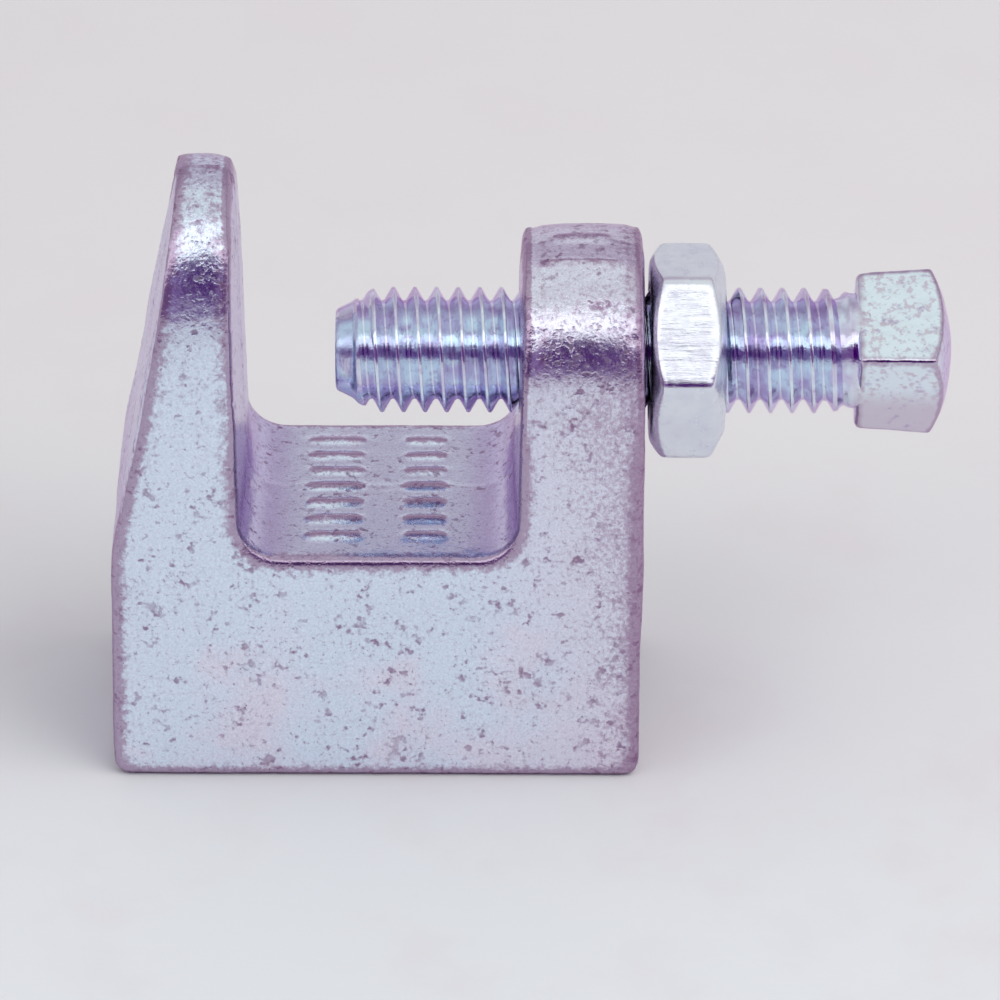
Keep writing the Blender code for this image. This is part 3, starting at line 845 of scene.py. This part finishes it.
def cast_zinc():
    """Passivated zinc on rough iron: blue clouds, brown specks, pink mottling, stained edges, and painted
    shade in the throat's corners.
    """
    n = Surface("cast_zinc")
    x, y, z = n.parts(n.place)
    clouds = n.sum(n.noise(6.0, 4.0, rough=0.55, warp=0.4), n.times(z, -0.013))
    colour = n.mixed(n.between(clouds, 0.33, 0.62), CAST_BLUE, CAST_PALE)
    # Towards the lug's outer side the surface is more stained, but not at the lug's top.
    reach = n.sum(n.sum(x, n.times(z, 0.11)), n.times(n.noise(3.0, 4.0), 8.0))
    crowd = n.times(n.between(reach, 18.5, 25.0), n.between(z, 39.0, 31.0, 0.3, 1.0))
    colour = n.mixed(n.between(reach, 12.0, 20.0, 0.0, 0.6), colour, CAST_LILAC)
    # Painted shade: the throat's corners, where its floor meets the jaw and the lug, are darker.
    off_middle = n.math("ABSOLUTE", n.sum(x, -0.27))
    inside = n.between(n.math("ABSOLUTE", y), 9.3, 8.9)
    corner = n.times(n.between(off_middle, 5.5, 8.5), n.between(z, 26.0, 21.0))
    colour = n.mixed(n.times(n.times(corner, inside), 0.65), colour, CAST_CORNER_SHADE)
    # Fine mottling, and a ragged stain round the outer side and along the edges
    mottle = n.between(n.sum(n.noise(0.38, 4.0, rough=0.7), n.times(crowd, 0.15)), 0.545, 0.73)
    colour = n.mixed(n.times(mottle, 0.75), colour, CAST_PINK)
    rim = n.between(n.sum(x, n.times(n.noise(0.9, 4.0, rough=0.65), 3.2)), 19.5, 20.9)
    colour = n.mixed(n.times(rim, 0.5), colour, CAST_STAIN)
    ragged = n.sum(n.attribute("edge"), n.times(n.noise(0.5, 4.0, rough=0.65), 0.22))
    edge = n.between(n.sum(ragged, n.times(crowd, 0.015)), 0.13, 0.20)
    colour = n.mixed(n.times(edge, 0.85), colour, CAST_STAIN)
    # Brown specks, denser in patches: blots, finer dots and stained pits
    patch = n.sum(n.times(n.noise(3.4, 2.0), 0.36), n.times(crowd, 0.05))
    blots = n.between(n.sum(n.noise(0.66, 2.0, rough=0.5), patch), 0.77, 0.90)
    dots = n.between(n.sum(n.noise(0.34, 2.0, rough=0.5), n.times(patch, 0.7)), 0.69, 0.86)
    pits = n.between(n.sum(n.attribute("stain"), n.times(n.noise(0.3, 3.0), 0.8)), 0.75, 1.5)
    specks = n.math("MAXIMUM", n.math("MAXIMUM", blots, n.times(dots, 0.7)), pits)
    depth = n.between(n.noise(1.1, 2.0), 0.3, 0.7, 0.35, 0.85)
    colour = n.mixed(n.times(specks, depth), colour, CAST_BROWN)
    grain = n.between(n.noise(0.17, 3.0, rough=0.7), 0.28, 0.72, 0.84, 1.08)
    colour = n.scaled(colour, grain)
    roughness = n.sum(n.times(n.math("MAXIMUM", specks, mottle), 0.14), 0.20)
    n.set(Base_Color=colour, Roughness=roughness, Metallic=1.0, Specular_Tint=CAST_TINT)
    fine, finer = n.noise(0.42, 3.0), n.noise(0.2, 2.0)
    n.bump([(fine, 0.037, 0.5), (finer, 0.014, 0.6), (n.times(specks, -1.0), 0.03, 0.6)])
    return n.material


def fastener_zinc(name, colours, tint, roughness, streak, grain, head_x=1e3):
    """Bright passivated zinc. streak stretches the fine marks, grain is how deep they are in millimetres.

    Past head_x along X the metal is a screw head's: paler, with painted shade low down, its edges stained.
    """
    n = Surface(name)
    first, second, third = colours
    x, _, z = n.parts(n.place)
    colour = n.mixed(n.between(n.noise(2.4, 3.0, warp=0.5), 0.40, 0.62), first, second)
    # Painted shade: the head is darker low down, and in patches higher up.
    low = n.between(z, SCREW_AXIS_Z - 3.0, SCREW_AXIS_Z)
    head = n.mixed(n.times(low, n.between(n.noise(0.5, 3.0), 0.35, 0.5)), HEAD_SHADED_ZINC, HEAD_ZINC)
    on_head = n.between(x, head_x, head_x + 1.0)
    colour = n.mixed(on_head, colour, head)
    colour = n.mixed(n.between(n.noise(0.8, 3.0, rough=0.6), 0.54, 0.78, 0.0, 0.8), colour, third)
    edge = n.between(n.times(n.attribute("edge"), n.sum(n.times(on_head, 3.0), 1.0)), 0.02, 0.12)
    worn = n.mixed(on_head, WORN_ZINC, HEAD_STAIN)
    colour = n.mixed(n.times(edge, n.sum(n.times(on_head, 0.40), 0.35)), colour, worn)
    marks = n.noise(0.35, 4.0, place=n.stretched(streak), rough=0.7)
    rough = n.sum(n.between(n.noise(1.3, 3.0), 0.45, 0.75, 0.0, 0.14), roughness)
    n.set(Base_Color=colour, Roughness=rough, Metallic=1.0, Specular_Tint=tint)
    n.bump([(marks, grain, 0.5), (n.noise(0.7, 3.0), 0.035, 0.5)])
    return n.material


def floor_material():
    n = Surface("pale_floor")
    # Painted light: the floor is lighter and bluer towards the front, dimmer and warmer towards the back.
    depth = n.between(n.parts(n.place)[1], -60.0, 60.0)
    faint = n.between(n.noise(16.0, 4.0, rough=0.6), 0.45, 0.75, 0.0, 0.6)
    n.set(Base_Color=n.mixed(faint, n.mixed(depth, FLOOR_FRONT_LIT, FLOOR_BACK_DIM), FLOOR_PINK), Roughness=0.55)
    return n.material


# ---------------------------------------------------------------- stage

def add_floor():
    bpy.ops.mesh.primitive_plane_add(size=6.0, location=(0.0, 0.0, 0.0))
    floor = bpy.context.object
    floor.name = "floor"
    floor.data.materials.append(floor_material())


def add_sky():
    """A soft room: pale low down, with a dark patch in front where the camera stands, bright overhead."""
    world = bpy.data.worlds.new("studio")
    bpy.context.scene.world = world
    world.use_nodes = True
    n = Nodes(world.node_tree)
    x, y, z = n.parts(n.add("ShaderNodeTexCoord").outputs["Generated"])
    front = n.times(y, -1.0)
    ramp = n.add("ShaderNodeValToRGB")
    n.link(n.math("DIVIDE", n.math("ARCTAN2", z, front), pi), ramp.inputs[0])
    elements = ramp.color_ramp.elements
    for element, (position, colour) in zip(elements, (SKY_STOPS[0], SKY_STOPS[-1])):
        element.position, element.color = position, (*colour, 1)
    for position, colour in SKY_STOPS[1:-1]:
        elements.new(position).color = (*colour, 1)
    across = n.math("DIVIDE", n.math("ARCTAN2", x, front), DARK_HALF_WIDTH)
    upward = n.math("SUBTRACT", n.math("ARCSINE", z), DARK_ELEVATION)
    upward = n.math("DIVIDE", upward, DARK_HALF_HEIGHT)
    away = n.math("SQRT", n.sum(n.math("POWER", across, 2.0), n.math("POWER", upward, 2.0)))
    background = n.tree.nodes["Background"]
    sky = n.mixed(n.between(away, *DARK_FADE), DARK_COLOUR, ramp.outputs[0])
    n.link(sky, background.inputs["Color"])
    background.inputs["Strength"].default_value = 1.0


def add_key_light():
    """A large soft light from the right, which reflections don't show."""
    light = bpy.data.lights.new("key", "AREA")
    light.size = KEY_SIZE
    light.energy = KEY_WATTS
    light.color = KEY_COLOUR
    box = new_object("key", light)
    aim = Vector((
        sin(KEY_AZIMUTH) * cos(KEY_ELEVATION),
        -cos(KEY_AZIMUTH) * cos(KEY_ELEVATION),
        sin(KEY_ELEVATION),
    ))
    box.location = KEY_TARGET + aim * KEY_DISTANCE
    box.rotation_euler = aim.to_track_quat("Z", "Y").to_euler()
    box.visible_glossy = False


def add_camera():
    camera = new_object("camera", bpy.data.cameras.new("camera"))
    camera.data.lens = CAMERA_LENS
    camera.data.sensor_width = CAMERA_SENSOR
    back = Vector((0.0, -cos(CAMERA_ELEVATION), sin(CAMERA_ELEVATION)))
    camera.location = CAMERA_TARGET + back * CAMERA_DISTANCE
    upright = Matrix.Rotation(radians(90) - CAMERA_ELEVATION, 4, "X")
    camera.rotation_euler = (upright @ Matrix.Rotation(CAMERA_ROLL, 4, "Z")).to_euler()
    bpy.context.scene.camera = camera


def main():
    add_camera()
    add_floor()
    add_sky()
    add_key_light()
    bpy.context.scene.view_settings.view_transform = "Standard"

    body = casting()
    finish_piece(body, cast_zinc(), 50)
    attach(body, "clamp_body")
    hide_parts("clamp_body")

    screw = set_screw()
    screw_zinc = fastener_zinc(
        "screw_zinc",
        SCREW_BLUES,
        SCREW_TINT,
        roughness=0.09,
        streak=(1.0, 0.6, 0.6),
        grain=0.03,
        head_x=HEAD_SEAT_X - 0.5,
    )
    finish_piece(screw, screw_zinc, 40)
    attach(screw, "set_screw")
    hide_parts("set_screw", "set_screw_cup_point")

    nut = lock_nut()
    nut_zinc = fastener_zinc(
        "nut_zinc", NUT_GREYS, NUT_TINT, roughness=0.18, streak=(0.12, 1.0, 1.0), grain=0.035
    )
    finish_piece(nut, nut_zinc, 40)
    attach(nut, "lock_nut")
    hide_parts("lock_nut", "lock_nut_bearing_face")


main()
